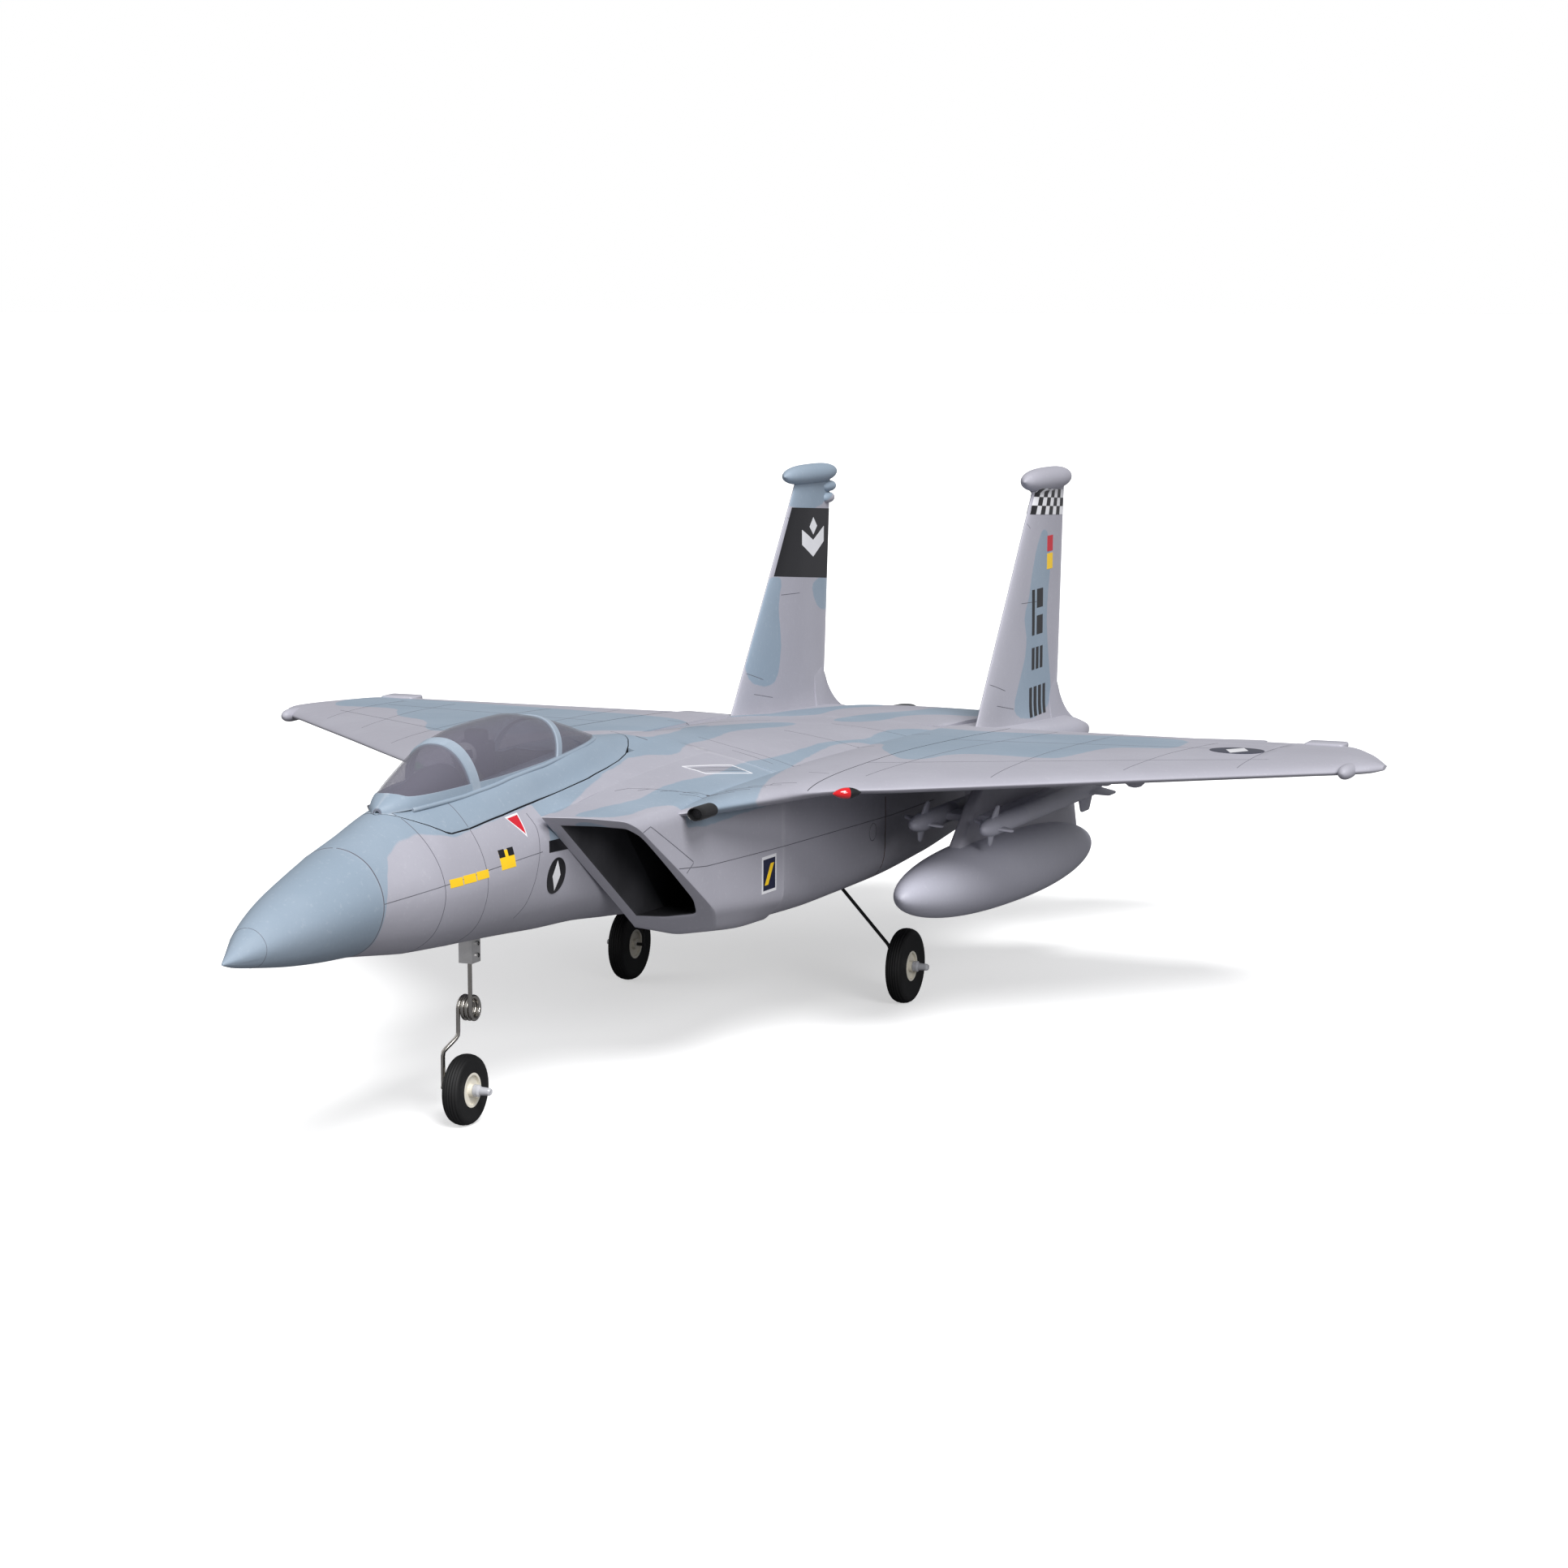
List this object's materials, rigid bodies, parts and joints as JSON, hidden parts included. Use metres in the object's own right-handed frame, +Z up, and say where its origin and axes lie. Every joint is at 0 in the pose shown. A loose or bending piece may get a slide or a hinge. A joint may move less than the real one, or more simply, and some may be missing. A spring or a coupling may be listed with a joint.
{
  "type": "rc ducted-fan jet model",
  "caption": "Foam radio-control jet model with twin fins, side intakes, ducted fan, tricycle wire gear, lift-off canopy hatch, moving ailerons and stabilators.",
  "frame": {"origin": "under the middle of the bounding box, on the ground the wheels stand on", "axes": "+X towards the left wing tip, +Y towards the tail, +Z up"},
  "size_m": [0.715, 0.92, 0.2995],
  "materials": {
    "foam_grey": "painted foam, satin",
    "foam_blue": "painted foam, satin",
    "store_grey": "painted plastic, satin",
    "dark_plastic": "moulded, matt",
    "black_plastic": "moulded, matt",
    "motor_metal": "turned",
    "plywood": "bare",
    "battery_wrap": "shrink wrap",
    "servo_case": "moulded, translucent look",
    "carbon": "pultruded carbon tube",
    "black_wire": "black oxide spring wire",
    "steel_wire": "bright spring wire",
    "block_aluminium": "satin",
    "red_light": "gloss",
    "green_light": "gloss",
    "clear_nylon": "translucent nylon",
    "white_nylon": "moulded nylon",
    "canopy_tint": "smoke tint, gloss",
    "pilot_paint": "hand painted",
    "tyre_rubber": "foam rubber, matt"
  },
  "bodies": {
    "airframe": {"nose_cone": "foam_blue", "forward_fuselage": "foam_blue", "upper_fuselage": "foam_grey", "lower_fuselage": "foam_grey", "left_intake": "foam_grey", "right_intake": "foam_grey", "tail_booms": "foam_grey", "exhaust_nozzles": "dark_plastic", "exhaust_duct": "dark_plastic", "fan_housing": "dark_plastic", "fan_motor": "motor_metal", "battery_tray": "plywood", "battery_pack": "battery_wrap", "speed_controller": "black_plastic", "receiver": "black_plastic", "servos": "servo_case", "wing_spar_tube": "carbon", "left_wing": "foam_grey", "right_wing": "foam_grey", "left_fin": "foam_grey", "right_fin": "foam_grey", "pylons": "store_grey", "drop_tanks": "store_grey", "missiles": "store_grey", "nose_gear_mount": "dark_plastic", "main_gear_mounts": "dark_plastic", "main_gear_wires": "black_wire", "left_nav_light": "red_light", "right_nav_light": "green_light", "main_axle_caps": "clear_nylon", "wing_root_inserts": "dark_plastic", "hatch_magnets": "steel_wire"},
    "fan": {"fan_rotor": "black_plastic"},
    "canopy_hatch": {"canopy_frame": "foam_blue", "canopy_glass": "canopy_tint", "cockpit_tub": "dark_plastic", "pilot_bust": "pilot_paint"},
    "nose_strut": {"nose_gear_leg": "steel_wire", "nose_gear_block": "block_aluminium", "nose_axle_cap": "clear_nylon"},
    "nose_wheel": {"nose_tyre": "tyre_rubber", "nose_hub": "white_nylon"},
    "left_wheel": {"left_tyre": "tyre_rubber", "left_hub": "white_nylon"},
    "right_wheel": {"right_tyre": "tyre_rubber", "right_hub": "white_nylon"},
    "left_aileron": {"left_aileron": "foam_grey"},
    "right_aileron": {"right_aileron": "foam_grey"},
    "left_stabilator": {"left_stabilator": "foam_blue"},
    "right_stabilator": {"right_stabilator": "foam_blue"},
    "left_aileron_servo_arm": {"left_aileron_arm": "white_nylon"},
    "left_aileron_pushrod": {"left_aileron_rod": "steel_wire"},
    "right_aileron_servo_arm": {"right_aileron_arm": "white_nylon"},
    "right_aileron_pushrod": {"right_aileron_rod": "steel_wire"},
    "left_stabilator_servo_arm": {"left_stabilator_arm": "white_nylon"},
    "left_stabilator_pushrod": {"left_stabilator_rod": "steel_wire"},
    "right_stabilator_servo_arm": {"right_stabilator_arm": "white_nylon"},
    "right_stabilator_pushrod": {"right_stabilator_rod": "steel_wire"},
    "steering_servo_arm": {"steering_arm": "white_nylon"},
    "steering_pushrod": {"steering_rod": "steel_wire"}
  },
  "joints": [
    {"name": "left_aileron_hinge", "type": "hinge", "parent": "airframe", "child": "left_aileron", "pos_m": [0.222, 0.212, 0.1487], "axis": [1, 0, 0], "range_deg": [-20, 20]},
    {"name": "left_aileron_servo", "type": "hinge", "parent": "airframe", "child": "left_aileron_servo_arm", "pos_m": [0.222, 0.138, 0.1487], "axis": [1, 0, 0], "range_deg": [-20, 20]},
    {"name": "left_aileron_link", "type": "hinge", "parent": "left_aileron_servo_arm", "child": "left_aileron_pushrod", "pos_m": [0.222, 0.138, 0.1367], "axis": [1, 0, 0], "range_deg": [-20, 20]},
    {"name": "left_stabilator_pivot", "type": "hinge", "parent": "airframe", "child": "left_stabilator", "pos_m": [0.09, 0.382, 0.1203], "axis": [1, 0, 0], "range_deg": [-15, 15]},
    {"name": "left_stabilator_servo", "type": "hinge", "parent": "airframe", "child": "left_stabilator_servo_arm", "pos_m": [0.087, 0.256, 0.1203], "axis": [1, 0, 0], "range_deg": [-15, 15]},
    {"name": "left_stabilator_link", "type": "hinge", "parent": "left_stabilator_servo_arm", "child": "left_stabilator_pushrod", "pos_m": [0.087, 0.256, 0.1083], "axis": [1, 0, 0], "range_deg": [-15, 15]},
    {"name": "right_aileron_hinge", "type": "hinge", "parent": "airframe", "child": "right_aileron", "pos_m": [-0.222, 0.212, 0.1487], "axis": [1, 0, 0], "range_deg": [-20, 20]},
    {"name": "right_aileron_servo", "type": "hinge", "parent": "airframe", "child": "right_aileron_servo_arm", "pos_m": [-0.222, 0.138, 0.1487], "axis": [1, 0, 0], "range_deg": [-20, 20]},
    {"name": "right_aileron_link", "type": "hinge", "parent": "right_aileron_servo_arm", "child": "right_aileron_pushrod", "pos_m": [-0.222, 0.138, 0.1367], "axis": [1, 0, 0], "range_deg": [-20, 20]},
    {"name": "right_stabilator_pivot", "type": "hinge", "parent": "airframe", "child": "right_stabilator", "pos_m": [-0.09, 0.382, 0.1203], "axis": [1, 0, 0], "range_deg": [-15, 15]},
    {"name": "right_stabilator_servo", "type": "hinge", "parent": "airframe", "child": "right_stabilator_servo_arm", "pos_m": [-0.087, 0.256, 0.1203], "axis": [1, 0, 0], "range_deg": [-15, 15]},
    {"name": "right_stabilator_link", "type": "hinge", "parent": "right_stabilator_servo_arm", "child": "right_stabilator_pushrod", "pos_m": [-0.087, 0.256, 0.1083], "axis": [1, 0, 0], "range_deg": [-15, 15]},
    {"name": "nose_steering", "type": "hinge", "parent": "airframe", "child": "nose_strut", "pos_m": [0, -0.2356, 0.0963], "axis": [0, 0, 1], "range_deg": [-30, 30]},
    {"name": "steering_servo", "type": "hinge", "parent": "airframe", "child": "steering_servo_arm", "pos_m": [0, -0.16, 0.1203], "axis": [0, 0, 1], "range_deg": [-30, 30]},
    {"name": "steering_link", "type": "hinge", "parent": "steering_servo_arm", "child": "steering_pushrod", "pos_m": [0.012, -0.16, 0.1203], "axis": [0, 0, 1], "range_deg": [-30, 30]},
    {"name": "nose_wheel_spin", "type": "hinge", "parent": "nose_strut", "child": "nose_wheel", "pos_m": [0, -0.242, 0.018], "axis": [1, 0, 0], "continuous": true},
    {"name": "left_wheel_spin", "type": "hinge", "parent": "airframe", "child": "left_wheel", "pos_m": [0.0895, 0.126, 0.022], "axis": [1, 0, 0], "continuous": true},
    {"name": "right_wheel_spin", "type": "hinge", "parent": "airframe", "child": "right_wheel", "pos_m": [-0.0895, 0.126, 0.022], "axis": [1, 0, 0], "continuous": true},
    {"name": "fan_spin", "type": "hinge", "parent": "airframe", "child": "fan", "pos_m": [0, 0.077, 0.1173], "axis": [0, 1, 0], "continuous": true},
    {"name": "canopy_lift", "type": "slide", "parent": "airframe", "child": "canopy_hatch", "axis": [0, 0, 1], "range_m": [0, 0.06]}
  ],
  "couplings": [
    {"joint": "left_aileron_servo", "follows": "left_aileron_hinge", "ratio": 1},
    {"joint": "left_aileron_link", "follows": "left_aileron_hinge", "ratio": -1},
    {"joint": "left_stabilator_servo", "follows": "left_stabilator_pivot", "ratio": 1},
    {"joint": "left_stabilator_link", "follows": "left_stabilator_pivot", "ratio": -1},
    {"joint": "right_aileron_servo", "follows": "right_aileron_hinge", "ratio": 1},
    {"joint": "right_aileron_link", "follows": "right_aileron_hinge", "ratio": -1},
    {"joint": "right_stabilator_servo", "follows": "right_stabilator_pivot", "ratio": 1},
    {"joint": "right_stabilator_link", "follows": "right_stabilator_pivot", "ratio": -1},
    {"joint": "steering_servo", "follows": "nose_steering", "ratio": 1},
    {"joint": "steering_link", "follows": "nose_steering", "ratio": -1}
  ]
}
